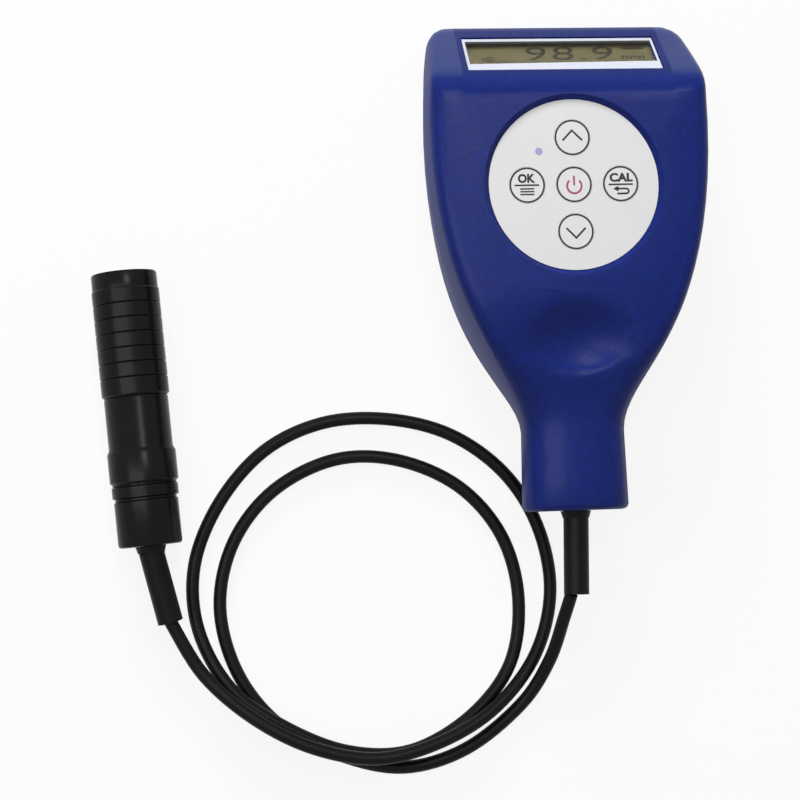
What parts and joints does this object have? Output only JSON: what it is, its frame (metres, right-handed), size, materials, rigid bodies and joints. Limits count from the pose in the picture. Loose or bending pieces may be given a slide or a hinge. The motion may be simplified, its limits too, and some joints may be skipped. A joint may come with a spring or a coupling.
{
  "type": "coating thickness gauge",
  "caption": "Handheld coating thickness gauge with a sloped display, a round membrane keypad, a thumb dimple and a cylindrical probe on a looped cable.",
  "frame": {"origin": "on the plane of the rear face, under the middle of the body's length and width", "axes": "+Z out of the keypad, +Y from the cable end to the display end, +X to the right"},
  "size_m": [0.1388, 0.1704, 0.027],
  "materials": {
    "housing_plastic": "satin moulded plastic with a fine grain",
    "screw_steel": "zinc-plated",
    "clear_lens": "clear polished plastic",
    "lcd_panel": "olive reflective display glass",
    "white_plastic": "moulded",
    "circuit_board": "lacquered board",
    "ribbon_film": "flexible film",
    "black_plastic": "moulded",
    "led_plastic": "diffused",
    "keypad_film": "printed satin film",
    "cell_jacket": "plain jacket",
    "cable_rubber": "soft satin sheath",
    "probe_black": "satin black, turned",
    "core_ferrite": "sintered",
    "coil_copper": "enamelled wire"
  },
  "bodies": {
    "housing": {"front_cover": "housing_plastic", "rear_cover": "housing_plastic", "housing_screws": "screw_steel", "display_lens": "clear_lens", "lcd_glass": "lcd_panel", "lcd_backlight": "white_plastic", "lcd_board": "circuit_board", "lcd_ribbon": "ribbon_film", "main_board": "circuit_board", "board_screws": "screw_steel", "processor": "black_plastic", "cable_header": "white_plastic", "status_led": "led_plastic", "up_switch": "black_plastic", "ok_switch": "black_plastic", "power_switch": "black_plastic", "cal_switch": "black_plastic", "down_switch": "black_plastic", "keypad_overlay": "keypad_film", "battery_cell_1": "cell_jacket", "battery_cell_2": "cell_jacket", "battery_bridge": "screw_steel", "battery_contacts": "screw_steel", "body_strain_relief": "cable_rubber", "inner_lead": "cable_rubber", "cable": "cable_rubber", "probe_sleeve": "probe_black", "probe_body": "probe_black", "probe_rear_barrel": "probe_black", "probe_spring": "screw_steel", "probe_strain_relief": "cable_rubber", "probe_lead": "cable_rubber"},
    "up_key": {"up_plunger": "white_plastic"},
    "ok_key": {"ok_plunger": "white_plastic"},
    "power_key": {"power_plunger": "white_plastic"},
    "cal_key": {"cal_plunger": "white_plastic"},
    "down_key": {"down_plunger": "white_plastic"},
    "door": {"battery_door": "housing_plastic"},
    "core": {"probe_core": "core_ferrite", "probe_tip": "screw_steel", "probe_coil": "coil_copper"}
  },
  "joints": [
    {"name": "up_press", "type": "slide", "parent": "housing", "child": "up_key", "axis": [0, 0, -1], "range_m": [0, 0.00025], "stiffness_N_per_m": 6000},
    {"name": "ok_press", "type": "slide", "parent": "housing", "child": "ok_key", "axis": [0, 0, -1], "range_m": [0, 0.00025], "stiffness_N_per_m": 6000},
    {"name": "power_press", "type": "slide", "parent": "housing", "child": "power_key", "axis": [0, 0, -1], "range_m": [0, 0.00025], "stiffness_N_per_m": 6000},
    {"name": "cal_press", "type": "slide", "parent": "housing", "child": "cal_key", "axis": [0, 0, -1], "range_m": [0, 0.00025], "stiffness_N_per_m": 6000},
    {"name": "down_press", "type": "slide", "parent": "housing", "child": "down_key", "axis": [0, 0, -1], "range_m": [0, 0.00025], "stiffness_N_per_m": 6000},
    {"name": "door_slide", "type": "slide", "parent": "housing", "child": "door", "axis": [0, 1, 0], "range_m": [0, 0.06]},
    {"name": "core_press", "type": "slide", "parent": "housing", "child": "core", "axis": [0.0732, -0.9973, 0], "range_m": [0, 0.0008], "stiffness_N_per_m": 1500, "deforming": ["probe_spring"]}
  ]
}
